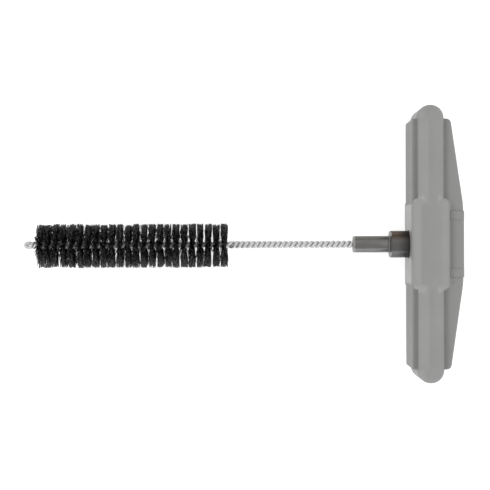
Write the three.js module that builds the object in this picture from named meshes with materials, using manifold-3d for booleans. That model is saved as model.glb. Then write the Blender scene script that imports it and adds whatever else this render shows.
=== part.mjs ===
// Drill hole cleaning brush with a T-handle. Millimetres, +Z up.
// The brush axis lies along X: tip at -X, palm side of the handle at +X. The grip lies along Y.
import * as THREE from 'three';
import { mergeVertices } from 'three/addons/utils/BufferGeometryUtils.js';
import Module from 'manifold-3d';

const wasm = await Module();
wasm.setup();

// Clearances
const FIT_GAP = 0.3; // around a piece that sits in a hole or pocket
const SEAT_GAP = 0.05; // between faces pressed on each other
const PARTING_GAP = 0.1; // between the two halves of the handle
const CLIP_GAP = 0.15; // around the palm clip

// Handle, measured from the hub face that the bush leaves
const GRIP_LENGTH = 124.2;
const RIB_WIDTH = 11.9;
const RIB_SETBACK = 8.45; // hub face to the rib's centre line
const HANDLE_THICKNESS = 29;
const CREST_ROUND_WIDTH = 4.2;
const CREST_ROUND_HEIGHT = 4.5;
const SLAB_THICKNESS = 21;
const SLAB_INSET = 6.1; // slab end short of the rib's end
const SLAB_SETBACK = 0.3; // finger side of the slab behind the hub face
const SLAB_DEPTH = 23.2;
const SLAB_END_DEPTH = 17.6;
const PALM_FLAT = 34.6; // straight run of the palm edge
const FINGER_CORNER = 0.8;
const PALM_CORNER = 1.8;
const SLAB_EDGE_ROUND = 0.9;
const HUB_LENGTH = 41.4;
const HUB_DEPTH = 17.3;
const HUB_END_ROUND = 3;
const SHELL_WALL = 2.4;

// Palm clip
const CLIP_LENGTH = 29.6;
const CLIP_WALL = 1.6;
const CLIP_PROUD = 0.35;
const CLIP_RIM = 3.8;
const CLIP_CATCH = 0.5;

// Screws through the lower half into the upper one
const SCREW_DIAMETER = 3.5;
const SCREW_LENGTH = 14;
const SCREW_HEAD_DIAMETER = 6;
const SCREW_HEAD_HEIGHT = 2.2;
const SCREW_SEAT_DEPTH = 6; // head seat below the parting plane
const SCREW_RECESS_WIDTH = 0.9;
const SCREW_RECESS_SPAN = 3.4;
const INNER_SCREW_SPACING = 27;
const OUTER_SCREW_INSET = 13.1; // from the rib's end

// Threaded bush in the hub
const BUSH_DIAMETER = 12.2;
const BUSH_REACH = 8.6; // proud of the hub face
const BUSH_DEPTH = 13;
const BUSH_CHAMFER = 0.7;
const BUSH_HEX = 15; // across flats
const BUSH_HEX_DEPTH = 5;
const BUSH_HEX_SETBACK = 4.5;

// Brush head: washer, ferrule, wire and bristles
const THREAD_DIAMETER = 6;
const THREAD_LENGTH = 11;
const WASHER_DIAMETER = 7.3;
const WASHER_THICKNESS = 0.5;
const FERRULE_DIAMETER = 7.5;
const FERRULE_LENGTH = 16.1;
const FERRULE_ROUND = 0.6;
const WIRE_DIAMETER = 1.3;
const WIRE_GRIP = 12; // wire inside the ferrule
const STEM_LENGTH = 56.6; // bare wire between ferrule and bristles
const STEM_LAY = 4.95; // length of one full twist
const TIP_REACH = 5.5; // wire beyond the first row
const BRUSH_DIAMETER = 20;
const ROW_PITCH = 3.64; // one row is half a twist
const ROWS = 24;
const RUNS = 4;
const PAIRS_PER_ROW = 7;
const CORE_WIDTH = 0.3; // flattened filaments between the wire's legs
const CORE_GAP = 0.27;
const STRAND_TIP_LENGTH = 0.6;
const STRAND_TIP_WIDTH = 0.5;
const ROW_GATHER = 0.72; // how far the tips draw together into a row

const halfThickness = HANDLE_THICKNESS / 2;
const halfSlab = SLAB_THICKNESS / 2;
const coreHalfLength = CLIP_LENGTH / 2 + SHELL_WALL;
const bushRadius = BUSH_DIAMETER / 2;
const threadRadius = THREAD_DIAMETER / 2;
const wireRadius = WIRE_DIAMETER / 2;
const twistRadius = wireRadius + CORE_WIDTH / 2 + CORE_GAP;

const washerStart = -BUSH_REACH - SEAT_GAP - WASHER_THICKNESS;
const shoulder = washerStart - SEAT_GAP;
const ferruleStart = shoulder - FERRULE_LENGTH;
const bristleEnd = ferruleStart - STEM_LENGTH;
const bristleStart = bristleEnd - ROWS * ROW_PITCH;
const tip = bristleStart - TIP_REACH;
const palm = SLAB_DEPTH + CLIP_PROUD;

function finish(color, roughness, metalness) {
  return new THREE.MeshStandardMaterial({ color, roughness, metalness });
}

function toSolid(geometry) {
  const bare = geometry.clone();
  bare.deleteAttribute('normal');
  bare.deleteAttribute('uv');
  const merged = mergeVertices(bare, 1e-4);
  return new wasm.Manifold(new wasm.Mesh({
    numProp: 3,
    vertProperties: new Float32Array(merged.attributes.position.array),
    triVerts: new Uint32Array(merged.index.array),
  }));
}

function toGeometry(solid) {
  const mesh = solid.getMesh();
  const geometry = new THREE.BufferGeometry();
  geometry.setAttribute('position', new THREE.BufferAttribute(mesh.vertProperties, 3));
  geometry.setIndex(new THREE.BufferAttribute(mesh.triVerts, 1));
  geometry.computeVertexNormals();
  return geometry;
}

function box(x0, x1, y0, y1, z0, z1) {
  const geometry = new THREE.BoxGeometry(x1 - x0, y1 - y0, z1 - z0);
  geometry.translate((x0 + x1) / 2, (y0 + y1) / 2, (z0 + z1) / 2);
  return toSolid(geometry);
}

function rodX(radius, x0, x1, sides) {
  const geometry = new THREE.CylinderGeometry(radius, radius, x1 - x0, sides);
  geometry.rotateZ(-Math.PI / 2);
  geometry.translate((x0 + x1) / 2, 0, 0);
  return toSolid(geometry);
}

function rodZ(radius, x, y, z0, z1, sides) {
  const geometry = new THREE.CylinderGeometry(radius, radius, z1 - z0, sides);
  geometry.rotateX(Math.PI / 2);
  geometry.translate(x, y, (z0 + z1) / 2);
  return toSolid(geometry);
}

function prism(shape, halfHeight, roundWidth, roundHeight, roundSteps, arcSteps) {
  const straight = halfHeight - roundHeight;
  const geometry = new THREE.ExtrudeGeometry(shape, {
    depth: 2 * straight,
    bevelEnabled: roundSteps > 0,
    bevelThickness: roundHeight,
    bevelSize: roundWidth,
    bevelOffset: -roundWidth,
    bevelSegments: roundSteps,
    curveSegments: arcSteps,
  });
  geometry.translate(0, 0, -straight);
  return toSolid(geometry);
}

function stadium(x, width, length) {
  const radius = width / 2;
  const reach = length / 2 - radius;
  const shape = new THREE.Shape();
  shape.absarc(x, reach, radius, 0, Math.PI);
  shape.absarc(x, -reach, radius, Math.PI, 2 * Math.PI);
  return shape;
}

function polygon(points) {
  return new THREE.Shape(points.map(([x, y]) => new THREE.Vector2(x, y)));
}

// One radius for all corners, or one for each
function roundedPolygon(points, radii) {
  const corners = points.map(([x, y]) => new THREE.Vector2(x, y));
  const shape = new THREE.Shape();
  corners.forEach((corner, i) => {
    const radius = radii[i] ?? radii;
    const before = corners.at(i - 1).clone().sub(corner).setLength(radius).add(corner);
    const after = corners[(i + 1) % corners.length].clone().sub(corner).setLength(radius).add(corner);
    if (i === 0) {
      shape.moveTo(before.x, before.y);
    } else {
      shape.lineTo(before.x, before.y);
    }
    shape.quadraticCurveTo(corner.x, corner.y, after.x, after.y);
  });
  shape.closePath();
  return shape;
}

function slabOutline(inset) {
  const front = SLAB_SETBACK + inset;
  const end = GRIP_LENGTH / 2 - SLAB_INSET - inset;
  const back = SLAB_DEPTH - inset;
  const endBack = SLAB_END_DEPTH - inset;
  const flat = PALM_FLAT / 2;
  return [[front, -end], [endBack, -end], [back, -flat], [back, flat], [endBack, end], [front, end]];
}

function hexagonPocket(gap) {
  const radius = (BUSH_HEX / 2 + gap) / Math.cos(Math.PI / 6);
  const start = BUSH_HEX_SETBACK - gap;
  const geometry = new THREE.CylinderGeometry(radius, radius, BUSH_HEX_DEPTH + 2 * gap, 6);
  geometry.rotateZ(-Math.PI / 2);
  geometry.rotateX(Math.PI / 2);
  geometry.translate(start + BUSH_HEX_DEPTH / 2 + gap, 0, 0);
  return toSolid(geometry);
}

function screwPlaces() {
  const inner = INNER_SCREW_SPACING / 2;
  const outer = GRIP_LENGTH / 2 - OUTER_SCREW_INSET;
  return [inner, -inner, outer, -outer].map((y) => [RIB_SETBACK, y]);
}

// Section of the hub across the grip, with its rolled edges
function hubProfile() {
  const [width, height] = [CREST_ROUND_WIDTH, CREST_ROUND_HEIGHT];
  const [front, back, rise] = [width, HUB_DEPTH - width, halfThickness - height];
  const shape = new THREE.Shape();
  [[back, rise], [front, rise], [front, -rise], [back, -rise]].forEach(([x, z], i) => {
    shape.absellipse(x, z, width, height, i * Math.PI / 2, (i + 1) * Math.PI / 2);
  });
  return shape;
}

// Both halves of the handle as one hollow body
function handleBody() {
  const slabCorners = [FINGER_CORNER, PALM_CORNER, PALM_CORNER, PALM_CORNER, PALM_CORNER, FINGER_CORNER];
  const slab = prism(
    roundedPolygon(slabOutline(0), slabCorners), halfSlab, SLAB_EDGE_ROUND, SLAB_EDGE_ROUND, 2, 2,
  );
  const rib = prism(
    stadium(RIB_SETBACK, RIB_WIDTH, GRIP_LENGTH), halfThickness, CREST_ROUND_WIDTH, CREST_ROUND_HEIGHT, 5, 12,
  );
  const hub = prism(hubProfile(), HUB_LENGTH / 2, HUB_END_ROUND, HUB_END_ROUND, 4, 5).rotate([90, 0, 0]);
  const outside = slab.add(rib).add(hub);

  const ribHollow = stadium(RIB_SETBACK, RIB_WIDTH - 2 * SHELL_WALL, GRIP_LENGTH - 2 * SHELL_WALL);
  let hollow = prism(polygon(slabOutline(SHELL_WALL)), halfSlab - SHELL_WALL, 0, 0, 0, 1);
  hollow = hollow.add(prism(ribHollow, halfThickness - SHELL_WALL, 0, 0, 0, 6));
  const deep = HANDLE_THICKNESS;
  hollow = hollow.subtract(box(-deep, 2 * deep, -coreHalfLength, coreHalfLength, -deep, deep));
  const headHole = SCREW_HEAD_DIAMETER / 2 + FIT_GAP;
  const shankHole = SCREW_DIAMETER / 2 + FIT_GAP;
  let holes = rodX(bushRadius + FIT_GAP, -BUSH_REACH, BUSH_DEPTH + FIT_GAP, 28).add(hexagonPocket(FIT_GAP));
  for (const [x, y] of screwPlaces()) {
    const post = rodZ(headHole + SHELL_WALL / 2, x, y, -HANDLE_THICKNESS, HANDLE_THICKNESS, 16);
    hollow = hollow.subtract(post);
    holes = holes.add(rodZ(headHole, x, y, -HANDLE_THICKNESS, -SCREW_SEAT_DEPTH, 16));
    const end = SCREW_LENGTH - SCREW_SEAT_DEPTH + FIT_GAP;
    holes = holes.add(rodZ(shankHole, x, y, -HANDLE_THICKNESS, end, 12));
  }
  return outside.subtract(hollow).subtract(holes).subtract(clipSeat());
}

// What the clip takes away from the handle: all but the tongue it grips
function clipSeat() {
  const reach = CLIP_LENGTH / 2 + CLIP_GAP;
  const tongueBack = palm - CLIP_WALL - CLIP_GAP;
  const tongueHalf = halfSlab - CLIP_WALL - CLIP_GAP;
  const far = 2 * SLAB_DEPTH;
  const tongue = box(-far, tongueBack, -far, far, -tongueHalf, tongueHalf);
  const around = box(HUB_DEPTH, far, -reach, reach, -far, far);
  return around.subtract(tongue).add(clipCatches(CLIP_GAP));
}

function clipCatches(gap) {
  const x = HUB_DEPTH + CLIP_GAP + CLIP_WALL;
  const y = CLIP_LENGTH / 4 + gap;
  const outer = halfSlab - CLIP_WALL / 2;
  const inner = halfSlab - CLIP_WALL - CLIP_GAP - CLIP_CATCH - gap;
  const upper = box(x - CLIP_CATCH - gap, x + CLIP_CATCH + gap, -y, y, inner, outer);
  return upper.add(box(x - CLIP_CATCH - gap, x + CLIP_CATCH + gap, -y, y, -outer, -inner));
}

function palmClip() {
  const front = HUB_DEPTH + CLIP_GAP;
  const reach = CLIP_LENGTH / 2;
  const far = 2 * SLAB_DEPTH;
  const saddle = (proud, y0, y1) => {
    const half = halfSlab + proud;
    const start = front - PALM_CORNER;
    const shape = roundedPolygon(
      [[start, -half], [palm, -half], [palm, half], [start, half]], SLAB_EDGE_ROUND,
    );
    const geometry = new THREE.ExtrudeGeometry(
      shape, { depth: y1 - y0, bevelEnabled: false, curveSegments: 3 },
    );
    geometry.rotateX(Math.PI / 2);
    geometry.translate(0, y1, 0);
    return toSolid(geometry).intersect(box(front, far, -far, far, -far, far));
  };
  const innerHalf = halfSlab - CLIP_WALL;
  const opening = box(-far, palm - CLIP_WALL, -far, far, -innerHalf, innerHalf);
  const rims = saddle(CLIP_PROUD, -reach, CLIP_RIM - reach).add(saddle(CLIP_PROUD, reach - CLIP_RIM, reach));
  const body = saddle(0, -reach, reach).add(rims).subtract(opening);
  return toGeometry(body.add(clipCatches(0)));
}

function screw() {
  const radius = SCREW_HEAD_DIAMETER / 2;
  const shank = SCREW_DIAMETER / 2;
  const height = SCREW_HEAD_HEIGHT;
  const profile = [
    [0, -height], [radius * 0.6, -height], [radius * 0.9, -height * 0.75], [radius, -height * 0.4],
    [radius, 0], [shank, 0], [shank, SCREW_LENGTH - shank], [shank * 0.4, SCREW_LENGTH], [0, SCREW_LENGTH],
  ];
  const geometry = new THREE.LatheGeometry(profile.map(([r, y]) => new THREE.Vector2(r, y)), 16);
  geometry.rotateX(Math.PI / 2);
  const half = SCREW_RECESS_WIDTH / 2;
  const span = SCREW_RECESS_SPAN / 2;
  const floor = -height * 0.4;
  const slot = box(-half, half, -span, span, -2 * height, floor);
  const crossSlot = box(-span, span, -half, half, -2 * height, floor);
  return toGeometry(toSolid(geometry).subtract(slot.add(crossSlot)));
}

function collarBush() {
  const chamfer = BUSH_CHAMFER;
  const profile = [
    [0, -BUSH_REACH], [bushRadius - chamfer, -BUSH_REACH], [bushRadius, chamfer - BUSH_REACH],
    [bushRadius, BUSH_DEPTH - chamfer], [bushRadius - chamfer, BUSH_DEPTH], [0, BUSH_DEPTH],
  ];
  const round = new THREE.LatheGeometry(profile.map(([r, y]) => new THREE.Vector2(r, y)), 28);
  round.rotateZ(-Math.PI / 2);
  const bore = rodX(threadRadius + FIT_GAP, -2 * BUSH_REACH, 2 * BUSH_DEPTH, 24);
  return toGeometry(toSolid(round).add(hexagonPocket(0)).subtract(bore));
}

// Profiles of turned pieces run along Y and are laid along X by their meshes
function turned(profile, segments) {
  return new THREE.LatheGeometry(profile.map(([r, y]) => new THREE.Vector2(r, y)), segments);
}

function ferrule() {
  const radius = FERRULE_DIAMETER / 2;
  const bore = twistRadius + wireRadius + FIT_GAP;
  const floor = WIRE_GRIP + wireRadius;
  const end = FERRULE_LENGTH + THREAD_LENGTH;
  const round = FERRULE_ROUND;
  const chamfer = threadRadius * 0.2;
  return turned([
    [0, floor], [bore, floor], [bore, 0], [radius - round, 0],
    [radius - round * 0.5, round * 0.13], [radius - round * 0.13, round * 0.5], [radius, round],
    [radius, FERRULE_LENGTH], [threadRadius, FERRULE_LENGTH], [threadRadius, end - chamfer],
    [threadRadius - chamfer, end], [0, end],
  ], 24);
}

function washer() {
  const inner = threadRadius + FIT_GAP / 2;
  const outer = WASHER_DIAMETER / 2;
  const top = WASHER_THICKNESS;
  return turned([[inner, 0], [outer, 0], [outer, top], [inner, top], [inner, 0]], 24);
}

// Angle of the wire's first leg about X, from +Y to +Z. The twist is left-handed and one leg crosses over
// the other between rows. Beyond the first row it makes three quarters of a turn, so that the loop lies flat.
function legAngle(x) {
  const rowTurn = Math.PI / ROW_PITCH;
  if (x > bristleEnd) {
    return legAngle(bristleEnd) - 2 * Math.PI * (x - bristleEnd) / STEM_LAY;
  }
  if (x < bristleStart) {
    const reach = bristleStart - loopCentre();
    const run = (bristleStart - x) / reach;
    const halfTurns = reach / ROW_PITCH * run * (1 - run) ** 2 + run * run * (4.5 - 3 * run);
    return legAngle(bristleStart) + Math.PI * halfTurns;
  }
  return Math.PI / 2 - rowTurn * (x - bristleStart);
}

function loopCentre() {
  return tip + twistRadius + wireRadius;
}

function around(x, radius, angle) {
  return new THREE.Vector3(x, radius * Math.cos(angle), radius * Math.sin(angle));
}

function legPoints() {
  const stepsPerTurn = 7;
  const points = [];
  const addRun = (from, to, turns) => {
    const steps = Math.ceil(turns * stepsPerTurn);
    for (let i = 0; i < steps; i += 1) {
      const x = from + (to - from) * i / steps;
      points.push(around(x, twistRadius, legAngle(x)));
    }
  };
  addRun(ferruleStart + WIRE_GRIP, bristleEnd, (STEM_LENGTH + WIRE_GRIP) / STEM_LAY);
  addRun(bristleEnd, bristleStart, ROWS / 2);
  addRun(bristleStart, loopCentre(), 1);
  return points;
}

// One wire: down a leg, round the loop at the tip and back along the other leg
function wirePath() {
  const leg = legPoints();
  const back = leg.map((p) => new THREE.Vector3(p.x, -p.y, -p.z)).reverse();
  const angle = legAngle(loopCentre());
  const loop = [];
  const loopSteps = 8;
  for (let i = 0; i <= loopSteps; i += 1) {
    const turn = Math.PI * i / loopSteps;
    loop.push(around(loopCentre() - twistRadius * Math.sin(turn), twistRadius * Math.cos(turn), angle));
  }
  return [...leg, ...loop, ...back];
}

function leastGap(path) {
  const travelled = [0];
  for (let i = 1; i < path.length; i += 1) {
    travelled.push(travelled[i - 1] + path[i].distanceTo(path[i - 1]));
  }
  let least = Infinity;
  for (let i = 0; i < path.length; i += 1) {
    for (let j = i + 1; j < path.length; j += 1) {
      if (travelled[j] - travelled[i] > 5 * WIRE_DIAMETER) {
        least = Math.min(least, path[i].distanceTo(path[j]) - WIRE_DIAMETER);
      }
    }
  }
  return least;
}

function tube(path, radius, sides) {
  const positions = [];
  const index = [];
  let normal = new THREE.Vector3(0, path[0].z, -path[0].y).normalize();
  path.forEach((point, i) => {
    const ahead = path[Math.min(i + 1, path.length - 1)];
    const behind = path[Math.max(i - 1, 0)];
    const along = ahead.clone().sub(behind).normalize();
    normal = normal.clone().addScaledVector(along, -normal.dot(along)).normalize();
    const across = along.clone().cross(normal);
    for (let k = 0; k < sides; k += 1) {
      const turn = 2 * Math.PI * k / sides;
      const corner = point.clone()
        .addScaledVector(normal, radius * Math.cos(turn))
        .addScaledVector(across, radius * Math.sin(turn));
      positions.push(corner.x, corner.y, corner.z);
    }
  });
  for (let i = 0; i < path.length - 1; i += 1) {
    for (let k = 0; k < sides; k += 1) {
      const a = i * sides + k;
      const b = i * sides + (k + 1) % sides;
      index.push(a, b, b + sides, a, b + sides, a + sides);
    }
  }
  const last = (path.length - 1) * sides;
  for (let k = 1; k < sides - 1; k += 1) {
    index.push(0, k + 1, k, last, last + k, last + k + 1);
  }
  return indexed(positions, index);
}

function indexed(positions, index) {
  const geometry = new THREE.BufferGeometry();
  geometry.setAttribute('position', new THREE.Float32BufferAttribute(positions, 3));
  geometry.setIndex(index);
  geometry.computeVertexNormals();
  return geometry;
}

// A run of rows: a twisted square core with a pair of strands drawn out of it at every other step
function bristleRun() {
  const rows = ROWS / RUNS;
  const strandPitch = ROW_PITCH / PAIRS_PER_ROW;
  const baseHalf = strandPitch * 0.3;
  const positions = [];
  const index = [];
  const addPoint = (p) => positions.push(p.x, p.y, p.z) / 3 - 1;
  const addQuad = (a, b, c, d) => index.push(a, b, c, a, c, d);
  const spread = (x) => legAngle(bristleStart + x) - Math.PI / 2;
  const addRing = (x) => [-1, 1, 3, 5].map(
    (k) => addPoint(around(x, CORE_WIDTH * Math.SQRT1_2, spread(x) + k * Math.PI / 4)),
  );
  const joinRings = (from, to, faces) => {
    for (const k of faces) {
      addQuad(from[k], from[(k + 1) % 4], to[(k + 1) % 4], to[k]);
    }
  };
  const addStrand = (base, x, tipX, angle) => {
    const out = around(0, 1, angle);
    const side = around(0, 1, angle + Math.PI / 2);
    const corners = [[-1, -1], [-1, 1], [1, 1], [1, -1]].map(([along, across]) => addPoint(
      new THREE.Vector3(tipX + along * STRAND_TIP_LENGTH / 2, 0, 0)
        .addScaledVector(out, BRUSH_DIAMETER / 2)
        .addScaledVector(side, across * STRAND_TIP_WIDTH / 2),
    ));
    for (let k = 0; k < 4; k += 1) {
      addQuad(base[k], base[(k + 1) % 4], corners[(k + 1) % 4], corners[k]);
    }
    addQuad(...corners);
  };

  let previous = addRing(CORE_GAP);
  addQuad(previous[3], previous[2], previous[1], previous[0]);
  for (let i = 0; i < rows * PAIRS_PER_ROW; i += 1) {
    const x = (i + 0.5) * strandPitch;
    const rowMiddle = (Math.floor(i / PAIRS_PER_ROW) + 0.5) * ROW_PITCH;
    const tipX = rowMiddle + (x - rowMiddle) * ROW_GATHER;
    const near = addRing(x - baseHalf);
    const far = addRing(x + baseHalf);
    joinRings(previous, near, [0, 1, 2, 3]);
    joinRings(near, far, [1, 3]);
    addStrand([near[0], near[1], far[1], far[0]], x, tipX, spread(x));
    addStrand([near[2], near[3], far[3], far[2]], x, tipX, spread(x) + Math.PI);
    previous = far;
  }
  const end = addRing(rows * ROW_PITCH - CORE_GAP);
  joinRings(previous, end, [0, 1, 2, 3]);
  addQuad(end[0], end[1], end[2], end[3]);
  return indexed(positions, index);
}

const group = new THREE.Group();
group.name = 'drill_hole_cleaning_brush';
const tool = new THREE.Group();
tool.position.set(-(tip + palm) / 2, 0, halfThickness);
group.add(tool);

function place(name, geometry, material, parent) {
  const mesh = new THREE.Mesh(geometry, material);
  mesh.name = name;
  parent.add(mesh);
  return mesh;
}

const handle = new THREE.Group();
tool.add(handle);
const shellGrey = [0x8b8b8a, 0.5, 0];
const body = handleBody();
const far = 2 * GRIP_LENGTH;
const upperSpace = box(-far, far, -far, far, PARTING_GAP / 2, far);
const lowerSpace = box(-far, far, -far, far, -far, -PARTING_GAP / 2);
place('handle_upper_shell', toGeometry(body.intersect(upperSpace)), finish(...shellGrey), handle);
place('handle_lower_shell', toGeometry(body.intersect(lowerSpace)), finish(...shellGrey), handle);
place('palm_clip', palmClip(), finish(...shellGrey), handle);
place('collar_bush', collarBush(), finish(0x4a4a49, 0.45, 0.9), handle);
const screwGeometry = screw();
screwPlaces().forEach(([x, y], i) => {
  const mesh = place(`shell_screw_${i + 1}`, screwGeometry, finish(0x9a9b9c, 0.35, 1), handle);
  mesh.position.set(x, y, -SCREW_SEAT_DEPTH - SEAT_GAP);
});

const brush = new THREE.Group();
tool.add(brush);
const washerMesh = place('shoulder_washer', washer(), finish(0x1b1b1b, 0.7, 0), brush);
washerMesh.position.x = washerStart;
washerMesh.rotation.z = -Math.PI / 2;
const ferruleMesh = place('ferrule', ferrule(), finish(0x6d6d6c, 0.4, 0.9), brush);
ferruleMesh.position.x = ferruleStart;
ferruleMesh.rotation.z = -Math.PI / 2;
const path = wirePath();
console.log(`stem wire: least gap to itself ${leastGap(path).toFixed(2)} mm`);
place('stem_wire', tube(path, wireRadius, 5), finish(0xb9bbbd, 0.25, 1), brush);
const runGeometry = bristleRun();
for (let i = 0; i < RUNS; i += 1) {
  const mesh = place(`bristles_${i + 1}`, runGeometry, finish(0x181716, 0.6, 0), brush);
  mesh.position.x = bristleStart + i * ROWS / RUNS * ROW_PITCH;
}

export default group;
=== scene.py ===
"""A drill hole cleaning brush: moulded T-handle, turned ferrule, twisted wire and nylon bristles."""
import math
import random

import bmesh
import bpy
from mathutils import Matrix, Vector


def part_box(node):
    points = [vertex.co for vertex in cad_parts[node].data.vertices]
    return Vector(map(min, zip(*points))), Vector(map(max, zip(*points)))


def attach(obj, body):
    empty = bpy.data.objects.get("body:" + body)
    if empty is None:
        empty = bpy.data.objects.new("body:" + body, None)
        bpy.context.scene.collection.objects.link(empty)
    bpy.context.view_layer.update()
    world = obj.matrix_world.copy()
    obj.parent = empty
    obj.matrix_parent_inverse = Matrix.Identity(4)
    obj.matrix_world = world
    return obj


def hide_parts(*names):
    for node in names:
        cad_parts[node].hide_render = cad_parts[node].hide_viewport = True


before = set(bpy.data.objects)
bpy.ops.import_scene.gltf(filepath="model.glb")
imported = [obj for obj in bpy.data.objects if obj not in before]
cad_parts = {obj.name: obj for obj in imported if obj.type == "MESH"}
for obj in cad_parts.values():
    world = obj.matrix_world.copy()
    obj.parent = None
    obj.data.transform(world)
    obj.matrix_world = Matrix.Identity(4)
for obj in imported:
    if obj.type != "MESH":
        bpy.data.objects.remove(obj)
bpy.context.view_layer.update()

MM = 0.001
FAR = 0.2  # well beyond the tool on every side
SAME_PLACE = 1e-7  # nearer than this, two points are one

# Places taken from the frame, in metres
HUB_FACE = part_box("handle_upper_shell")[0][0]
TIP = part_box("stem_wire")[0][0]
FERRULE_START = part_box("ferrule")[0][0]
SHANK_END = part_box("ferrule")[1][0]
WASHER_START, WASHER_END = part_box("shoulder_washer")[0][0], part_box("shoulder_washer")[1][0]
BUSH_START, BUSH_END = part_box("collar_bush")[0][0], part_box("collar_bush")[1][0]
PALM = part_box("palm_clip")[1][0]
AXIS_Z = (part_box("ferrule")[0][2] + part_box("ferrule")[1][2]) / 2

# Handle, as in the part's source
GRIP_LENGTH = 124.2 * MM
RIB_WIDTH = 11.9 * MM
RIB_X = HUB_FACE + 8.45 * MM
HALF_THICKNESS = 14.49 * MM  # a hair inside the solid
CREST_ROUND = 4.2 * MM
CREST_HEIGHT = 4.5 * MM
CROWN = 0.5 * MM  # how far the crest falls away to the rib's edges
RIB_CREST_HALF = 1.4 * MM  # where the crest's painted highlight begins, on the rib and on the hub
HUB_CREST_HALF = 4.5 * MM
HALF_SLAB = 10.5 * MM
SLAB_LENGTH = 112 * MM
SLAB_FRONT = HUB_FACE + 0.3 * MM
SLAB_BACK = HUB_FACE + 23.2 * MM
SLAB_END_BACK = HUB_FACE + 17.6 * MM
PALM_FLAT = 34.6 * MM
FINGER_CORNER = 0.8 * MM
PALM_CORNER = 1.8 * MM
SLAB_EDGE = 0.9 * MM
HUB_LENGTH = 41.4 * MM
HUB_BACK = HUB_FACE + 17.3 * MM
HUB_END_ROUND = 3 * MM
SHELL_WALL = 2.4 * MM
PARTING_GAP = 0.1 * MM
FIT_GAP = 0.3 * MM
MOULD_GRAIN = 0.32 * MM  # voxel of the moulded body, which also sets its fillets

CLIP_LENGTH = 29.6 * MM
CLIP_WALL = 1.6 * MM
CLIP_RIM = 3.8 * MM
CLIP_PROUD = 0.35 * MM
CLIP_GAP = 0.04 * MM
CLIP_EDGE = 0.3 * MM

SCREW_SPOTS = [13.5 * MM, -13.5 * MM, 49 * MM, -49 * MM]
SCREW_SEAT = 6.05 * MM
SCREW_RADIUS = 1.75 * MM
SCREW_LENGTH = 14 * MM
SCREW_HEAD = 3 * MM
SCREW_HEAD_HEIGHT = 2.2 * MM
SCREW_LEAD = 1.4 * MM
SCREW_THREAD_START = 1.5 * MM
SCREW_PLAIN = 4 * MM  # left without thread at both ends together
SCREW_CROSS_REACH = 1.7 * MM
SCREW_CROSS_HALF = 0.45 * MM
SCREW_CROSS_DEPTH = 1.3 * MM

BUSH_RADIUS = 6.1 * MM
BUSH_HEX = 15 * MM
BUSH_HEX_START = HUB_FACE + 4.5 * MM
BUSH_HEX_DEPTH = 5 * MM
BUSH_LIP = 0.4 * MM
BUSH_RIM = 0.6 * MM
BORE_CUT = 0.02 * MM  # how much wider the bore is reamed once the hexagon is on
FERRULE_RADIUS = 3.75 * MM
FERRULE_LENGTH = 16.1 * MM
FERRULE_NOSE = 0.6 * MM
FERRULE_EDGE = 0.12 * MM
WIRE_CLEARANCE = 0.1 * MM
SHANK_CHAMFER = 0.6 * MM
SHANK_THREAD_START = 0.7 * MM
SHANK_PLAIN = 1.6 * MM
WASHER_RADIUS = 3.65 * MM
WASHER_EDGE = 0.05 * MM
THREAD_RADIUS = 3 * MM
THREAD_LEAD = 1 * MM
THREAD_DEPTH = 0.45 * MM

# Wire and bristles
WIRE_RADIUS = 0.85 * MM
TWIST_RADIUS = 0.95 * MM
STEM_LENGTH = 56.5 * MM
STEM_LAY = 4.81 * MM
WIRE_GRIP = 12 * MM
TWIST_LAG = 2.15 * MM  # how far beyond the last row the rows' slower twist still runs
LOOP_HALF_TURNS = 1.5  # how far the legs turn between the first row and the loop
LOOP_REACH = 1.6 * MM
LOOP_CENTRE = TIP + LOOP_REACH + WIRE_RADIUS
ROW_PITCH = 3.635 * MM
ROWS = 24
RUNS = 4
BRUSH_RADIUS = 10.3 * MM
BRUSH_SHIFT = 0.4 * MM  # the trimmed face lies off the wire, towards -Y
BRISTLE_END = FERRULE_START - STEM_LENGTH
BRISTLE_START = BRISTLE_END - ROWS * ROW_PITCH
FILAMENT_RADIUS = 0.145 * MM
FILAMENTS_PER_ROW = 330
FIRST_TUCK = 0.8 * MM  # how far the first row leans back
LEAN, WORN_LEAN = 0.06, 0.11  # spread of a row's lean in millimetres, and what wear adds
NARROWING, FAR_NARROWING = 0.12, 0.06  # how much narrower a worn row is, and more so on its far side
TRIM_SPREAD = 0.25
CUT_SPREAD = 0.45
FAN_SPREAD, FAN_LIMIT = 0.5, 1.3
SHORT_SHARE, SHORT_BY = 0.12, 1.8  # strands cut short, and by how many millimetres at most
LOOSE_SHARE = 0.1  # strands of the first row that hang out along the wire

# Camera, from the photograph
IMAGE_WIDTH = 490
MM_PER_PIXEL = 0.4545
CAMERA_HEIGHT = 0.512
CAMERA_X = 1.43 * MM
CAMERA_Y = -0.17 * MM
CAMERA_ROLL = -0.003
SENSOR = 36

# Light: an even dome, soft boxes round the tool, and what the white floor gives off to the eye and in gloss
WORLD_LIGHT = 0.73
FLOOR_GLOW = 0.58
FLOOR_REACH = 5  # far enough for its edge to stay out of low views
LAMPS = [  # name, place, size, power, tint
    ("left_box", (-0.66, 0, 0.55), (0.7, 0.7), 1.85, (1, 0.985, 0.97)),
    ("right_box", (0.9, 0, 0.43), (0.7, 0.7), 1.2, (0.96, 0.99, 1)),
    ("right_high", (0.62, 0, 0.7), (0.6, 0.6), 0.6, (1, 1, 0.97)),
    ("near_window", (0.05, -0.85, 0.21), (1.6, 0.42), 1.75, (0.84, 0.94, 1)),
    ("far_box", (0.05, 0.8, 0.9), (1.6, 1.2), 1.0, (1, 0.96, 0.9)),
]


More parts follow.
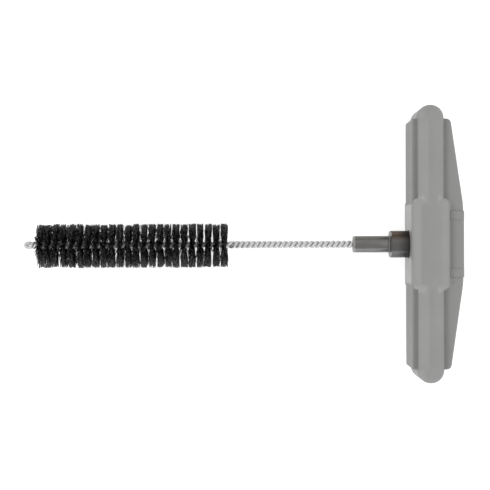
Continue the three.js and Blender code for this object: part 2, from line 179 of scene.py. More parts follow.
class Value:
    """A shader socket that Python's operators work on."""

    def __init__(self, finish, socket):
        self.finish = finish
        self.socket = socket

    def math(self, operation, first, second):
        return self.finish.add("ShaderNodeMath", {"operation": operation}, {0: first, 1: second})

    def __add__(self, other):
        return self.math("ADD", self, other)

    def __radd__(self, other):
        return self.math("ADD", other, self)

    def __sub__(self, other):
        return self.math("SUBTRACT", self, other)

    def __rsub__(self, other):
        return self.math("SUBTRACT", other, self)

    def __mul__(self, other):
        return self.math("MULTIPLY", self, other)

    def __rmul__(self, other):
        return self.math("MULTIPLY", other, self)

    def __abs__(self):
        return self.math("ABSOLUTE", self, 0)


class Finish:
    """A material whose nodes are added one call at a time."""

    def __init__(self, name):
        self.material = bpy.data.materials.new(name)
        self.material.use_nodes = True
        self.tree = self.material.node_tree
        self.tree.nodes.clear()
        self.output = self.tree.nodes.new("ShaderNodeOutputMaterial")

    def add(self, kind, settings=None, inputs=None, output=0):
        node = self.tree.nodes.new(kind)
        for key, value in (settings or {}).items():
            if key == "stops":
                self.set_stops(node.color_ramp, value)
            else:
                setattr(node, key, value)
        for key, value in (inputs or {}).items():
            if isinstance(value, Value):
                self.tree.links.new(value.socket, node.inputs[key])
            else:
                node.inputs[key].default_value = value
        return Value(self, node.outputs[output])

    def set_stops(self, ramp, stops):
        while len(ramp.elements) < len(stops):
            ramp.elements.new(1)
        for element, (place, colour) in zip(ramp.elements, stops):
            element.position = place
            element.color = (*colour, 1)

    def place(self):
        """Object coordinates measured from the brush axis, in metres."""
        coords = self.add("ShaderNodeTexCoord", output="Object")
        return self.add("ShaderNodeMapping", {}, {"Vector": coords, "Location": (0, 0, -AXIS_Z)})

    def noise(self, vector, scale, detail=2, roughness=0.5):
        return self.add("ShaderNodeTexNoise", {}, {
            "Vector": vector, "Scale": scale, "Detail": detail, "Roughness": roughness,
        })

    def stripes(self, along, scale):
        """Fine marks across one direction."""
        return self.add("ShaderNodeTexNoise", {"noise_dimensions": "1D"}, {
            "W": along, "Scale": scale, "Detail": 3,
        })

    def ramp(self, factor, *stops):
        return self.add("ShaderNodeValToRGB", {"stops": stops}, {"Fac": factor})

    def split(self, vector):
        node = self.add("ShaderNodeSeparateXYZ", {}, {"Vector": vector}).socket.node
        return [Value(self, socket) for socket in node.outputs]

    def step(self, value, none, full):
        """A soft step: 0 where value is at none, 1 where it is at full."""
        return self.add("ShaderNodeMapRange", {"interpolation_type": "SMOOTHSTEP"}, {
            "Value": value, "From Min": none, "From Max": full,
        })

    def blend(self, factor, first, second):
        node = self.add("ShaderNodeMix", {"data_type": "RGBA"}, {"Factor": factor}).socket.node
        for socket, colour in zip([s for s in node.inputs if s.type == "RGBA"], (first, second)):
            if isinstance(colour, Value):
                self.tree.links.new(colour.socket, socket)
            else:
                socket.default_value = (*colour, 1)
        return Value(self, next(s for s in node.outputs if s.type == "RGBA"))

    def bump(self, height, distance, strength=1.0):
        return self.add("ShaderNodeBump", {}, {
            "Height": height, "Distance": distance, "Strength": strength,
        })

    def surface(self, **inputs):
        shader = self.add("ShaderNodeBsdfPrincipled", {}, {
            key.replace("_", " "): value for key, value in inputs.items()
        })
        self.tree.links.new(shader.socket, self.output.inputs["Surface"])
        return self.material


def grey(level, warmth=0.0):
    return (level * (1 + warmth), level, level * (1 - warmth))


def grip_plastic():
    """Moulded grey plastic: smoother on the hub, with a painted highlight along the crests and painted shade
    beside the rib, behind the hub and on the slab tops.
    """
    finish = Finish("grip_plastic")
    place = finish.place()
    x, y, z = finish.split(place)
    along, height, from_rib = abs(y), abs(z), abs(x - RIB_X)
    flow = finish.noise(place, 70, 3)
    grain = finish.noise(place, 5200, 2, 0.6)
    scuff = finish.noise(place, 420, 4, 0.65)

    face_end = HUB_LENGTH / 2 - HUB_END_ROUND
    face_top = 7.6 * MM
    lobe_end = HUB_LENGTH / 2 + 0.3 * MM
    dome_start = SLAB_LENGTH / 2
    on_hub = finish.step(along, face_end + 0.6 * MM, face_end - 0.2 * MM)
    on_face = finish.step(along, face_end + 0.3 * MM, face_end - 0.5 * MM)
    on_face = on_face * finish.step(height, face_top + MM, face_top)
    on_face = on_face * finish.step(x, HUB_FACE + 0.4 * MM, HUB_FACE + 0.1 * MM)
    on_dome = finish.step(along, dome_start - 0.6 * MM, dome_start + 0.4 * MM)
    above_slab = finish.step(height, HALF_SLAB + 0.6 * MM, HALF_SLAB + 1.8 * MM)
    on_lobe = finish.step(along, face_end + 0.4 * MM, face_end + MM)
    on_lobe = on_lobe * finish.step(along, lobe_end + MM, lobe_end)
    on_lobe = on_lobe * above_slab * finish.step(from_rib, 2.4 * MM, 3.2 * MM)

    # Painted shade: the slab tops are darker beside the rib, and the palm side just behind the hub is
    # darker, as if the rib and hub shaded them
    slab_top = finish.step(height, HALF_SLAB - 1.2 * MM, HALF_SLAB - 0.4 * MM)
    slab_top = slab_top * finish.step(height, HALF_SLAB + 1.6 * MM, HALF_SLAB + 0.2 * MM)
    beside_rib = finish.step(from_rib, RIB_WIDTH / 2 + 3.4 * MM, RIB_WIDTH / 2)
    behind_hub = finish.step(x, HUB_BACK + 3.4 * MM, HUB_BACK)
    behind_hub = behind_hub * finish.step(x, HUB_BACK + 0.2 * MM, HUB_BACK + 0.6 * MM)
    painted_shade = beside_rib * slab_top * (1 - on_hub) * (0.75 + 0.5 * scuff)
    painted_shade = painted_shade + 0.6 * behind_hub * on_hub * slab_top

    crest_half = RIB_CREST_HALF + (HUB_CREST_HALF - RIB_CREST_HALF) * on_hub
    # Painted highlight: a lighter band along the edges of the rib's and hub's crests, and on the brush side
    # of the rib's domed ends
    painted_highlight = above_slab * finish.step(from_rib - crest_half, -0.3 * MM, 0.3 * MM)
    painted_highlight = painted_highlight * (0.3 + 0.7 * finish.step(x, RIB_X + MM, RIB_X - MM))
    painted_highlight = painted_highlight * finish.step(along, dome_start + 2 * MM, dome_start - 4 * MM)
    painted_highlight = painted_highlight + on_dome * finish.step(x, RIB_X - 2 * MM, RIB_X - 4.5 * MM)

    plain_tone = finish.ramp(flow, (0.3, (0.275, 0.275, 0.268)), (0.7, (0.293, 0.293, 0.286)))
    # Lightens the base colour with the painted highlight
    plain_tone = finish.blend(0.14 * painted_highlight, plain_tone, grey(0.47))
    return finish.surface(
        # Darkens the base colour with the painted shade, and slightly with painted shade on all slab tops
        Base_Color=finish.blend(0.3 * painted_shade + 0.09 * slab_top, plain_tone, grey(0.06)),
        Roughness=0.62 - 0.2 * on_hub + 0.1 * scuff,
        Coat_Weight=0.35 * on_face + 0.9 * on_lobe + 0.15 * on_dome,
        Coat_Roughness=0.25,
        Normal=finish.bump(grain, 0.02 * MM, 0.5),
    )


def turned_steel(name, bare, far_reflection_colour, front, edge_width, worn_highlight_from, shadow_from, shadow_to):
    """Dark turned steel: a painted darker reflection on its far side, a painted shadow towards the hub, and
    a front edge that is worn and carries a painted highlight.

    The edge is worn and carries the painted highlight where it is farther than the given distance from the
    tool's middle plane, and has painted shade inside that.
    """
    finish = Finish(name)
    place = finish.place()
    x, y, _ = finish.split(place)
    lathe_marks = finish.stripes(x, 6500)
    blotch = finish.noise(place, 260, 3, 0.6)
    metal = finish.ramp(blotch, (0.3, grey(0.92 * bare, 0.02)), (0.7, grey(1.08 * bare, 0.02)))
    # Painted reflection: the far side is darker and browner, as if it mirrored dark brownish surroundings
    far_reflection_mask = finish.step(y, 0.3 * FERRULE_RADIUS, FERRULE_RADIUS) * (0.4 + 0.6 * blotch)
    metal = finish.blend(far_reflection_mask, metal, far_reflection_colour)
    # Painted shadow: darker towards the hub, as if the hub shaded the metal
    metal = finish.blend(0.72 * finish.step(x, shadow_from, shadow_to), metal, grey(0.015))
    # The front edge: beyond the given distance from the middle plane it is worn and has a painted highlight,
    # and inside it has painted shade at the joint
    at_edge = finish.step(x, front + edge_width, front + 0.7 * edge_width)
    end_face = finish.step(x, front + 0.15 * MM, front + 0.02 * MM)
    worn_and_lit = finish.step(abs(y), worn_highlight_from, worn_highlight_from + MM)
    worn_and_lit = worn_and_lit + 0.7 * end_face * (1 - worn_and_lit)
    # Painted shade at the front edge near the joint
    metal = finish.blend(0.5 * at_edge * (1 - worn_and_lit), metal, grey(0.02))
    return finish.surface(
        # Wear and painted highlight at the front edge
        Base_Color=finish.blend(0.8 * at_edge * worn_and_lit, metal, grey(0.33)),
        Metallic=1.0,
        Specular_Tint=(*grey(0.7), 1),
        Roughness=0.2 + 0.1 * lathe_marks,
        Normal=finish.bump(lathe_marks, 0.004 * MM, 0.6),
    )


def bright_wire():
    """Drawn wire with a dull zinc skin."""
    finish = Finish("bright_wire")
    place = finish.place()
    draw_marks = finish.noise(place, 1500, 3, 0.6)
    return finish.surface(
        Base_Color=finish.ramp(draw_marks, (0.3, grey(0.54)), (0.7, grey(0.68))),
        Metallic=0.5,
        Specular_Tint=(*grey(0.5), 1),
        Roughness=0.26 + 0.16 * draw_marks,
    )


def nylon_filament():
    """Black nylon, greyer towards the trimmed face, where the tips are worn and painted light shines through
    them, with specks of dust and painted glints.
    """
    finish = Finish("nylon_filament")
    place = finish.place()
    across = finish.add("ShaderNodeVectorMath", {"operation": "MULTIPLY"}, {0: place, 1: (0, 1, 0.76)})
    reach = finish.add("ShaderNodeVectorMath", {"operation": "LENGTH"}, {0: across}, output="Value")
    speck = finish.noise(place, 1500, 2)
    # Greyer towards the trimmed face: worn tips, and painted light shining through them
    fade = reach * (1 / BRUSH_RADIUS) + 1.2 * (speck - 0.5)
    nylon = finish.ramp(
        fade, (0.2, grey(0.0006)), (0.5, grey(0.002)), (0.75, grey(0.016)), (0.95, grey(0.15)),
    )
    # Light specks: dust, and painted glints on the filaments
    dust_and_glint = finish.step(finish.noise(place, 2400, 1), 0.57, 0.66)
    return finish.surface(
        Base_Color=finish.blend(0.7 * dust_and_glint, nylon, grey(0.2)),
        Roughness=0.42 + 0.15 * speck,
        Specular_IOR_Level=0.04,
    )


def grey_rubber():
    finish = Finish("grey_rubber")
    grain = finish.noise(finish.place(), 4000, 2)
    return finish.surface(
        Base_Color=finish.ramp(grain, (0.3, grey(0.26)), (0.7, grey(0.3))),
        Roughness=0.6 + 0.15 * grain,
        Normal=finish.bump(grain, 0.01 * MM, 0.4),
    )


def zinc_plate():
    finish = Finish("zinc_plate")
    bloom = finish.noise(finish.place(), 900, 3)
    return finish.surface(
        Base_Color=finish.ramp(bloom, (0.3, (0.5, 0.51, 0.52)), (0.7, (0.62, 0.62, 0.6))),
        Metallic=1.0,
        Roughness=0.28 + 0.14 * bloom,
    )


def studio_floor():
    """White paper that keeps the tool's shadow and looks white itself without lighting the tool more."""
    finish = Finish("studio_floor")
    rays = finish.add("ShaderNodeLightPath").socket.node.outputs
    seen = Value(finish, rays["Is Camera Ray"])
    for ray in ("Is Glossy Ray", "Is Transmission Ray"):
        seen = seen.math("MAXIMUM", seen, Value(finish, rays[ray]))
    paper = finish.add("ShaderNodeBsdfDiffuse", {}, {"Color": (*grey(0.8), 1)})
    glow = finish.add("ShaderNodeEmission", {}, {"Color": (*grey(1), 1), "Strength": FLOOR_GLOW})
    lit = finish.add("ShaderNodeAddShader", {}, {0: paper, 1: glow})
    shown = finish.add("ShaderNodeMixShader", {}, {0: seen, 1: paper, 2: lit})
    finish.tree.links.new(shown.socket, finish.output.inputs["Surface"])
    return finish.material


# Mesh helpers

def box(low, high):
    bm = bmesh.new()
    low, high = Vector(low), Vector(high)
    size = Matrix.Diagonal((*(high - low), 1))
    bmesh.ops.create_cube(bm, size=1, matrix=Matrix.Translation((low + high) / 2) @ size)
    return bm


def bevel(bm, edges, width, segments):
    bmesh.ops.bevel(
        bm, geom=edges, offset=width, segments=segments, profile=0.5, affect="EDGES", material=-1,
        clamp_overlap=False,
    )


def edges_along(bm, axis):
    """Edges that run along one axis only."""
    return [e for e in bm.edges if all(
        abs(e.verts[0].co[k] - e.verts[1].co[k]) < SAME_PLACE for k in range(3) if k != axis
    )]


def rim_edges(bm, axis=2):
    """Edges round the flat ends of a prism that stands along one axis."""
    places = [v.co[axis] for v in bm.verts]
    ends = min(places), max(places)
    return [e for e in bm.edges if any(
        all(abs(v.co[axis] - end) < SAME_PLACE for v in e.verts) for end in ends
    )]


def rod(start, end, radius, segments):
    bm = bmesh.new()
    start, end = Vector(start), Vector(end)
    turn = (end - start).to_track_quat("Z", "Y").to_matrix().to_4x4()
    bmesh.ops.create_cone(
        bm, cap_ends=True, segments=segments, radius1=radius, radius2=radius, depth=(end - start).length,
        matrix=Matrix.Translation((start + end) / 2) @ turn,
    )
    return bm


def turned(profile, steps=72, spot=None):
    """Spins an outline of (along, radius) points about the brush axis, or about an upright axis at spot."""
    bm = bmesh.new()
    if spot is None:
        centre, axis = Vector((0, 0, AXIS_Z)), (1, 0, 0)
        points = [(along, 0, AXIS_Z + radius) for along, radius in profile]
    else:
        centre, axis = Vector((*spot, 0)), (0, 0, 1)
        points = [(spot[0] + radius, spot[1], along) for along, radius in profile]
    verts = [bm.verts.new(p) for p in points]
    edges = [bm.edges.new((a, b)) for a, b in zip(verts, verts[1:])]
    if profile[0][1] > 0:
        edges.append(bm.edges.new((verts[-1], verts[0])))
    bmesh.ops.spin(
        bm, geom=verts + edges, cent=centre, axis=axis, angle=math.tau, steps=steps, use_merge=True,
    )
    bmesh.ops.remove_doubles(bm, verts=bm.verts, dist=SAME_PLACE)
    bmesh.ops.recalc_face_normals(bm, faces=bm.faces)
    return bm


def corner(along, radius, size, start, steps=6):
    """Points of a quarter round of a turned outline, counted from angle start in degrees."""
    angles = [math.radians(start + 90 * i / steps) for i in range(steps + 1)]
    return [(along + size * math.cos(a), radius + size * math.sin(a)) for a in angles]


def thread(bm, start, turns, root, crest, lead, axis, centre):
    """Adds a helical ridge of triangular section to bm."""
    along = Vector(axis)
    out = along.orthogonal().normalized()
    first = Vector(centre) + along * start
    half_foot, sunk = 0.42 * lead, 0.97 * root
    section = [(-half_foot, sunk), (0, crest), (half_foot, sunk)]
    verts = [bm.verts.new(first + along * a + out * r) for a, r in section]
    face = bm.faces.new(verts)
    steps = int(24 * turns)
    bmesh.ops.spin(
        bm, geom=[face], cent=centre, axis=along, angle=math.tau * turns, steps=steps,
        dvec=along * lead * turns / steps,
    )
    open_edges = [e for e in bm.edges if e.is_boundary]
    bmesh.ops.holes_fill(bm, edges=open_edges, sides=0)
    bmesh.ops.recalc_face_normals(bm, faces=bm.faces)


def upright_block(outline, bottom, height):
    """A block with the given outline of (x, y) points."""
    bm = bmesh.new()
    face = bm.faces.new([bm.verts.new((x, y, bottom)) for x, y in outline])
    grown = bmesh.ops.extrude_face_region(bm, geom=[face])
    lifted = [v for v in grown["geom"] if isinstance(v, bmesh.types.BMVert)]
    bmesh.ops.translate(bm, verts=lifted, vec=(0, 0, height))
    bmesh.ops.recalc_face_normals(bm, faces=bm.faces)
    return bm


def to_object(bm, name):
    mesh = bpy.data.meshes.new(name)
    bm.to_mesh(mesh)
    bm.free()
    obj = bpy.data.objects.new(name, mesh)
    bpy.context.collection.objects.link(obj)
    return obj


def settle(obj):
    """Applies an object's modifiers to its mesh."""
    shown = obj.evaluated_get(bpy.context.evaluated_depsgraph_get())
    mesh = bpy.data.meshes.new_from_object(shown)
    obj.modifiers.clear()
    obj.data = mesh


def combine(obj, bm, operation):
    other = to_object(bm, "tool")
    change = obj.modifiers.new("combine", "BOOLEAN")
    change.operation = operation
    change.solver = "MANIFOLD"
    change.object = other
    settle(obj)
    bpy.data.objects.remove(other)


def dress(obj, material, body, node, sharp=35):
    """Gives a finished piece its shading, material and body, and hides the CAD part it stands in for."""
    obj.data.materials.clear()
    obj.data.materials.append(material)
    obj.data.shade_smooth()
    obj.data.set_sharp_from_angle(angle=math.radians(sharp))
    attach(obj, body)
    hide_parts(node)


# Handle

def slab(inset):
    """The plate of the grip, straight in front and tapering behind."""
    end = SLAB_LENGTH / 2 - inset
    front, back, end_back = SLAB_FRONT + inset, SLAB_BACK - inset, SLAB_END_BACK - inset
    flat = PALM_FLAT / 2
    outline = [
        (front, -end), (end_back, -end), (back, -flat), (back, flat), (end_back, end), (front, end),
    ]
    return upright_block(outline, AXIS_Z - HALF_SLAB + inset, 2 * (HALF_SLAB - inset))


def rib(inset):
    """The long round-ended rib along the grip, above and below the slab."""
    half_width, half_length = RIB_WIDTH / 2 - inset, GRIP_LENGTH / 2 - inset
    height = HALF_THICKNESS - inset
    bm = box(
        (RIB_X - half_width, -half_length, AXIS_Z - height),
        (RIB_X + half_width, half_length, AXIS_Z + height),
    )
    bevel(bm, edges_along(bm, 2), half_width * 0.999, 16)
    return bm


def hub():
    """A block across the grip whose long edges roll over and whose ends are rounded all round."""
    flatten = CREST_ROUND / CREST_HEIGHT
    half = HALF_THICKNESS * flatten
    bm = box((HUB_FACE, -HUB_LENGTH / 2, -half), (HUB_BACK, HUB_LENGTH / 2, half))
    bevel(bm, edges_along(bm, 1), CREST_ROUND, 10)
    bmesh.ops.scale(bm, verts=bm.verts, vec=(1, 1, 1 / flatten))
    bmesh.ops.translate(bm, verts=bm.verts, vec=(0, 0, AXIS_Z))
    bevel(bm, rim_edges(bm, 1), HUB_END_ROUND, 8)
    return bm


def hub_notch(end):
    """What leaves a round lobe on each side of the rib at one end of the hub."""
    size = HUB_END_ROUND
    turns = [math.pi / 2 * i / 12 for i in range(13)]
    near = [(HUB_FACE + size * (1 + math.sin(t)), size * math.cos(t)) for t in turns]
    far = [(HUB_BACK - size * (1 + math.sin(t)), size * math.cos(t)) for t in reversed(turns)]
    outline = [(HUB_FACE + size, 2 * size), *near, *far, (HUB_BACK - size, 2 * size)]
    inner = HUB_LENGTH / 2 - size
    return upright_block([(x, end * (inner + y)) for x, y in outline], -FAR / 2, FAR)


def handle_outside():
    """The moulded outside of both halves, with its fillets drawn by the remesh."""
    body = to_object(hub(), "handle")
    for end in (-1, 1):
        combine(body, hub_notch(end), "DIFFERENCE")
    plate = slab(0)
    for size, palm_side in ((FINGER_CORNER, False), (PALM_CORNER, True)):
        uprights = [e for e in edges_along(plate, 2) if (e.verts[0].co.x > RIB_X) == palm_side]
        bevel(plate, uprights, size, 5)
    bevel(plate, rim_edges(plate), SLAB_EDGE, 4)
    combine(body, plate, "UNION")
    spine = rib(0)
    bevel(spine, rim_edges(spine), CREST_ROUND, 8)
    combine(body, spine, "UNION")
    skin = body.modifiers.new("skin", "REMESH")
    skin.mode = "VOXEL"
    skin.voxel_size = MOULD_GRAIN
    ease = body.modifiers.new("ease", "SMOOTH")
    ease.factor = 0.5
    ease.iterations = 3
    settle(body)
    crown(body)
    return body


def crown(body):
    """Lets the crests of rib and hub fall away gently on both sides of the rib's middle line."""
    bm = bmesh.new()
    bm.from_mesh(body.data)
    for vert in bm.verts:
        height = vert.co.z - AXIS_Z
        rise = max(0, (abs(height) - HALF_SLAB) / (HALF_THICKNESS - HALF_SLAB))
        fall = CROWN * rise * ((vert.co.x - RIB_X) / (RIB_WIDTH / 2)) ** 2
        vert.co.z -= math.copysign(fall, height)
    bm.to_mesh(body.data)
    bm.free()


def along_axis(start, end, radius, segments):
    """A rod on the brush axis."""
    return rod((start, 0, AXIS_Z), (end, 0, AXIS_Z), radius, segments)


def at_screw(y, top, radius, segments):
    """An upright rod on a screw's axis, from far below up to top."""
    return rod((RIB_X, y, -FAR), (RIB_X, y, top), radius, segments)


def handle_hollow(obj):
    """Takes the hollows, bores and clip seat out of the handle, and leaves the core and the screw posts."""
    hollow = to_object(slab(SHELL_WALL), "hollow")
    combine(hollow, rib(SHELL_WALL), "UNION")
    core = CLIP_LENGTH / 2 + SHELL_WALL
    combine(hollow, box((-FAR, -core, -FAR), (FAR, core, FAR)), "DIFFERENCE")
    head_bore = SCREW_HEAD + FIT_GAP
    for y in SCREW_SPOTS:
        combine(hollow, at_screw(y, FAR, head_bore + SHELL_WALL / 2, 32), "DIFFERENCE")
    combine(hollow, along_axis(BUSH_START, BUSH_END + FIT_GAP, BUSH_RADIUS + FIT_GAP, 64), "UNION")
    combine(hollow, bush_hexagon(FIT_GAP), "UNION")
    seat = AXIS_Z - SCREW_SEAT
    for y in SCREW_SPOTS:
        combine(hollow, at_screw(y, seat, head_bore, 40), "UNION")
        combine(hollow, at_screw(y, seat + SCREW_LENGTH + FIT_GAP, SCREW_RADIUS + FIT_GAP, 32), "UNION")
    reach = CLIP_LENGTH / 2 + CLIP_GAP
    tongue = HALF_SLAB - CLIP_WALL - CLIP_GAP
    tongue_end = PALM - CLIP_WALL - CLIP_GAP
    clip_seat = to_object(box((HUB_BACK, -reach, -FAR), (FAR, reach, FAR)), "clip_seat")
    combine(clip_seat, box((-FAR, -FAR, AXIS_Z - tongue), (tongue_end, FAR, AXIS_Z + tongue)), "DIFFERENCE")
    for cut in (hollow, clip_seat):
        bm = bmesh.new()
        bm.from_mesh(cut.data)
        combine(obj, bm, "DIFFERENCE")
        bpy.data.objects.remove(cut)


def make_handle(plastic):
    upper = handle_outside()
    handle_hollow(upper)
    lower = upper.copy()
    lower.data = upper.data.copy()
    bpy.context.collection.objects.link(lower)
    split = AXIS_Z + PARTING_GAP / 2
    combine(upper, box((-FAR, -FAR, split), (FAR, FAR, FAR)), "INTERSECT")
    split = AXIS_Z - PARTING_GAP / 2
    combine(lower, box((-FAR, -FAR, -FAR), (FAR, FAR, split)), "INTERSECT")
    upper.name, lower.name = "grip_upper", "grip_lower"
    dress(upper, plastic, "handle", "handle_upper_shell")
    dress(lower, plastic, "handle", "handle_lower_shell")


def saddle(half_length, middle, proud):
    """A block over the palm side of the slab, with its back edges rounded."""
    half = HALF_SLAB + proud
    bm = box(
        (HUB_BACK + CLIP_GAP, middle - half_length, AXIS_Z - half),
        (PALM, middle + half_length, AXIS_Z + half),
    )
    back = [e for e in edges_along(bm, 1) if e.verts[0].co.x > PALM - SLAB_EDGE]
    bevel(bm, back, SLAB_EDGE, 5)
    return bm


def make_clip(plastic):
    clip = to_object(saddle(CLIP_LENGTH / 2, 0, 0), "palm_saddle")
    for side in (-1, 1):
        combine(clip, saddle(CLIP_RIM / 2, side * (CLIP_LENGTH - CLIP_RIM) / 2, CLIP_PROUD), "UNION")
    inner = HALF_SLAB - CLIP_WALL
    combine(clip, box((-FAR, -FAR, AXIS_Z - inner), (PALM - CLIP_WALL, FAR, AXIS_Z + inner)), "DIFFERENCE")
    soften = clip.modifiers.new("soften", "BEVEL")
    soften.width = CLIP_EDGE
    soften.segments = 3
    soften.limit_method = "ANGLE"
    soften.angle_limit = math.radians(40)
    settle(clip)
    dress(clip, plastic, "handle", "palm_clip")


# Metal pieces

def bush_hexagon(gap):
    """The bush's hexagonal head, or the room for it, with two of its flats upright."""
    radius = (BUSH_HEX / 2 + gap) / math.cos(math.pi / 6)
    bm = along_axis(BUSH_HEX_START - gap, BUSH_HEX_START + BUSH_HEX_DEPTH + gap, radius, 6)
    corner_angle = max(math.atan2(v.co.y, v.co.z - AXIS_Z) % (math.pi / 3) for v in bm.verts)
    turn = Matrix.Rotation(corner_angle - math.pi / 2, 3, "X")
    bmesh.ops.rotate(bm, verts=bm.verts, cent=(0, 0, AXIS_Z), matrix=turn)
    return bm


def make_bush(steel):
    bore = THREAD_RADIUS + FIT_GAP
    profile = [(BUSH_START + BUSH_LIP, bore), (BUSH_START, bore + BUSH_LIP)]
    profile += reversed(corner(BUSH_START + BUSH_RIM, BUSH_RADIUS - BUSH_RIM, BUSH_RIM, 90))
    profile += [(BUSH_END - BUSH_LIP, BUSH_RADIUS), (BUSH_END, BUSH_RADIUS - BUSH_LIP), (BUSH_END, bore)]
    bush = to_object(turned(profile, 96), "threaded_collar")
    combine(bush, bush_hexagon(0), "UNION")
    reamer = along_axis(BUSH_START - BUSH_LIP, BUSH_END + BUSH_LIP, bore + BORE_CUT, 96)
    combine(bush, reamer, "DIFFERENCE")
    dress(bush, steel, "handle", "collar_bush")


def make_ferrule(steel):
    nose, edge = FERRULE_NOSE, FERRULE_EDGE
    bore = TWIST_RADIUS + WIRE_RADIUS + WIRE_CLEARANCE
    bore_end = FERRULE_START + WIRE_GRIP
    shoulder = FERRULE_START + FERRULE_LENGTH
    core = THREAD_RADIUS - THREAD_DEPTH
    shank = SHANK_END - SHANK_CHAMFER
    profile = [(bore_end, 0), (bore_end, bore), (FERRULE_START + edge, bore), (FERRULE_START, bore + edge)]
    profile += reversed(corner(FERRULE_START + nose, FERRULE_RADIUS - nose, nose, 90))
    profile += reversed(corner(shoulder - edge, FERRULE_RADIUS - edge, edge, 0, 3))
    profile += [(shoulder, core), (shank, core), (SHANK_END, core - SHANK_CHAMFER), (SHANK_END, 0)]
    bm = turned(profile, 96)
    turns = (SHANK_END - shoulder - SHANK_PLAIN) / THREAD_LEAD
    start = shoulder + SHANK_THREAD_START
    thread(bm, start, turns, core, THREAD_RADIUS, THREAD_LEAD, (1, 0, 0), (0, 0, AXIS_Z))
    dress(to_object(bm, "crimp_ferrule"), steel, "brush", "ferrule")


def make_washer(rubber):
    inner, outer, edge = THREAD_RADIUS + FIT_GAP / 2, WASHER_RADIUS, WASHER_EDGE
    profile = [(WASHER_START, inner), (WASHER_START, outer - edge), (WASHER_START + edge, outer)]
    profile += [(WASHER_END - edge, outer), (WASHER_END, outer - edge), (WASHER_END, inner)]
    ring = to_object(turned(profile, 72), "seal_ring")
    dress(ring, rubber, "washer", "shoulder_washer")


def make_screws(zinc):
    seat = AXIS_Z - SCREW_SEAT
    core = SCREW_RADIUS * 0.72
    top = seat - SCREW_HEAD_HEIGHT
    for i, y in enumerate(SCREW_SPOTS):
        dome = [(top + SCREW_HEAD_HEIGHT * (1 - math.cos(a)) * 0.7, SCREW_HEAD * math.sin(a) ** 0.7)
                for a in (math.pi / 2 * k / 8 for k in range(9))]
        profile = [*dome, (seat, SCREW_HEAD), (seat, core), (seat + SCREW_LENGTH - 2 * core, core)]
        profile += [(seat + SCREW_LENGTH, 0)]
        screw = to_object(turned(profile, 40, (RIB_X, y)), f"case_screw_{i + 1}")
        floor = top + SCREW_CROSS_DEPTH
        arm = SCREW_CROSS_REACH, SCREW_CROSS_HALF
        for dx, dy in (arm, arm[::-1]):
            cross = box((RIB_X - dx, y - dy, top - MM), (RIB_X + dx, y + dy, floor))
            combine(screw, cross, "DIFFERENCE")
        bm = bmesh.new()
        bm.from_mesh(screw.data)
        turns = (SCREW_LENGTH - SCREW_PLAIN) / SCREW_LEAD
        start = seat + SCREW_THREAD_START
        thread(bm, start, turns, core, SCREW_RADIUS, SCREW_LEAD, (0, 0, 1), (RIB_X, y, 0))
        bm.to_mesh(screw.data)
        bm.free()
        dress(screw, zinc, "handle", f"shell_screw_{i + 1}")


# Wire and bristles

def leg_angle(x):
    """Angle of the wire's first leg about the brush axis, from +Y to +Z.

    The twist is left-handed, and one leg crosses over the other between rows. Beyond the first row it
    eases out, so that the loop lies flat.
    """
    stem_start = BRISTLE_END + TWIST_LAG
    if x > stem_start:
        return leg_angle(stem_start) - math.tau * (x - stem_start) / STEM_LAY
    if x < BRISTLE_START:
        reach = BRISTLE_START - LOOP_CENTRE
        run = (BRISTLE_START - x) / reach
        half_turns = reach / ROW_PITCH * run * (1 - run) ** 2
        half_turns += LOOP_HALF_TURNS * run * run * (3 - 2 * run)
        return leg_angle(BRISTLE_START) + math.pi * half_turns
    return math.pi / 2 - math.pi / ROW_PITCH * (x - BRISTLE_START)


def around(x, radius, angle):
    return Vector((x, radius * math.cos(angle), AXIS_Z + radius * math.sin(angle)))


def swept(name, paths, radius, sides_each_quarter):
    """A mesh of round strands that follow the given paths."""
    curve = bpy.data.curves.new(name, "CURVE")
    curve.dimensions = "3D"
    curve.bevel_depth = radius
    curve.bevel_resolution = sides_each_quarter
    curve.use_fill_caps = True
    for path in paths:
        spline = curve.splines.new("POLY")
        spline.points.add(len(path) - 1)
        spline.points.foreach_set("co", [value for point in path for value in (*point, 1)])
    holder = bpy.data.objects.new(name, curve)
    bpy.context.collection.objects.link(holder)
    mesh = bpy.data.meshes.new_from_object(holder.evaluated_get(bpy.context.evaluated_depsgraph_get()))
    bpy.data.objects.remove(holder)
    obj = bpy.data.objects.new(name, mesh)
    bpy.context.collection.objects.link(obj)
    return obj


def make_wire(steel):
    step = ROW_PITCH / 14
    start = FERRULE_START + WIRE_GRIP - FIT_GAP
    count = int((start - LOOP_CENTRE) / step)
    places = [start - (start - LOOP_CENTRE) * i / count for i in range(count)]
    leg = [around(x, TWIST_RADIUS, leg_angle(x)) for x in places]
    back = [around(x, -TWIST_RADIUS, leg_angle(x)) for x in reversed(places)]
    turns = [math.pi * i / 16 for i in range(17)]
    angle = leg_angle(LOOP_CENTRE)
    loop = [
        around(LOOP_CENTRE - LOOP_REACH * math.sin(t), TWIST_RADIUS * math.cos(t), angle) for t in turns
    ]
    wire = swept("twisted_wire", [leg + loop + back], WIRE_RADIUS, 3)
    dress(wire, steel, "brush", "stem_wire", 60)


def row_shape(rng, row):
    """How one row leans, spreads and was trimmed on each side. The rows nearer the tip are more worn."""
    wear = 1 - row / ROWS
    sides = (-1, 1)
    return {
        "middle": BRISTLE_START + (row + 0.5) * ROW_PITCH,
        "free": row == 0,
        "tuck": FIRST_TUCK * (row == 0),
        "lean": {side: rng.gauss(0, LEAN + WORN_LEAN * wear) * MM for side in sides},
        "width": {
            side: rng.uniform(0.97, 1.05) - (NARROWING + FAR_NARROWING * (side > 0)) * wear for side in sides
        },
        "trim": {side: abs(rng.gauss(0, TRIM_SPREAD)) * MM for side in sides},
    }


# Along a strand: share of its length, how far it has moved from its root's place to its tip's, and half of
# its row's width there in millimetres
STATIONS = [(0.02, 0, 1.75), (0.14, 0.25, 1.2), (0.3, 0.7, 1.2), (0.62, 0.95, 1.39), (1, 1, 1.49)]


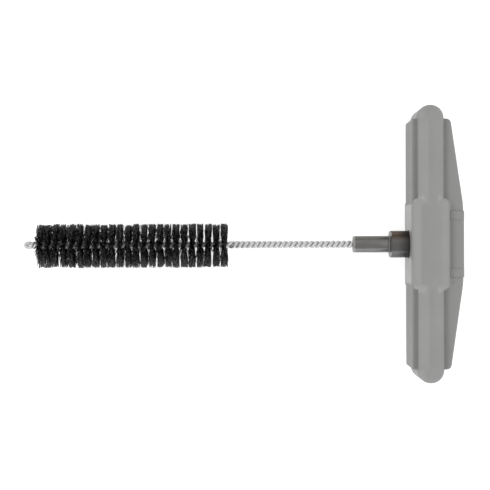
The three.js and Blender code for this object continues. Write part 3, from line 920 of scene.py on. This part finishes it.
def filament(rng, row):
    """One strand from between the wire's legs to the trimmed face of its row."""
    root, tip = rng.uniform(-1, 1), rng.uniform(-1, 1) + rng.gauss(0, 0.1)
    angle = leg_angle(row["middle"] + root * ROW_PITCH / 2) - math.pi / 2 + rng.choice((0, math.pi))
    fan = max(-FAN_LIMIT, min(FAN_LIMIT, rng.gauss(0, FAN_SPREAD)))
    sideways = math.cos(angle + fan)
    side = 1 if sideways > 0 else -1
    length = BRUSH_RADIUS - abs(rng.gauss(0, CUT_SPREAD)) * MM - row["trim"][side] * abs(sideways)
    length -= BRUSH_SHIFT * sideways
    length -= (rng.random() < SHORT_SHARE) * rng.uniform(0, SHORT_BY) * MM
    lean = row["lean"][side] * abs(sideways) + row["tuck"]
    if row["free"] and rng.random() < LOOSE_SHARE:
        length, lean, tip = rng.uniform(2.5, 5) * MM, -rng.uniform(0.3, 1.2) * MM, -1
    path = []
    for share, gather, half_width in STATIONS:
        across = (root + (tip - root) * gather) * half_width * row["width"][side] * MM
        place = row["middle"] + across + lean * share
        path.append(around(place, length * share, angle + fan * share ** 0.6))
    return path


def make_bristles(nylon):
    rng = random.Random(24)
    rows = ROWS // RUNS
    for run in range(RUNS):
        shapes = [row_shape(rng, run * rows + row) for row in range(rows)]
        paths = [filament(rng, shape) for shape in shapes for _ in range(FILAMENTS_PER_ROW)]
        obj = swept(f"filaments_{run + 1}", paths, FILAMENT_RADIUS, 0)
        dress(obj, nylon, "brush", f"bristles_{run + 1}", 60)


# Stage

def make_stage():
    bm = bmesh.new()
    bmesh.ops.create_grid(bm, x_segments=1, y_segments=1, size=FLOOR_REACH)
    floor = to_object(bm, "floor")
    floor.data.materials.append(studio_floor())

    world = bpy.data.worlds.new("studio")
    bpy.context.scene.world = world
    world.use_nodes = True
    world.node_tree.nodes["Background"].inputs["Color"].default_value = (1, 1, 1, 1)
    world.node_tree.nodes["Background"].inputs["Strength"].default_value = WORLD_LIGHT
    for lamp in LAMPS:
        hang(*lamp)


def hang(name, place, size, power, tint):
    data = bpy.data.lights.new(name, "AREA")
    data.shape = "RECTANGLE"
    data.size, data.size_y = size
    data.energy = power
    data.color = tint
    obj = bpy.data.objects.new(name, data)
    bpy.context.collection.objects.link(obj)
    obj.location = place
    obj.rotation_euler = (Vector((0, 0, AXIS_Z)) - Vector(place)).to_track_quat("-Z", "Y").to_euler()


def make_camera():
    data = bpy.data.cameras.new("camera")
    data.sensor_width = SENSOR
    data.lens = SENSOR * CAMERA_HEIGHT / (IMAGE_WIDTH * MM_PER_PIXEL * MM)
    obj = bpy.data.objects.new("camera", data)
    bpy.context.collection.objects.link(obj)
    obj.location = (CAMERA_X, CAMERA_Y, AXIS_Z + CAMERA_HEIGHT)
    obj.rotation_euler = (0, 0, CAMERA_ROLL)
    bpy.context.scene.camera = obj


make_camera()
plastic = grip_plastic()
make_handle(plastic)
make_clip(plastic)
# The bush gets a painted reflection on its far side, a painted shadow towards the hub, and painted shade and
# a worn, painted highlight at its front edge
make_bush(turned_steel(
    "bush_black", bare=0.14, far_reflection_colour=(0.085, 0.052, 0.034), front=BUSH_START, edge_width=0.65 * MM,
    worn_highlight_from=3.2 * MM, shadow_from=HUB_FACE - 6.5 * MM, shadow_to=HUB_FACE + 0.2 * MM,
))
# The ferrule gets a painted reflection on its far side and a worn, painted highlight all round its front
# edge
make_ferrule(turned_steel(
    "ferrule_grey", bare=0.188, far_reflection_colour=(0.1, 0.094, 0.082), front=FERRULE_START, edge_width=1.1 * MM,
    worn_highlight_from=-MM, shadow_from=SHANK_END, shadow_to=SHANK_END + MM,
))
make_washer(grey_rubber())
make_screws(zinc_plate())
make_wire(bright_wire())
make_bristles(nylon_filament())
make_stage()
bpy.context.scene.view_settings.view_transform = "Standard"
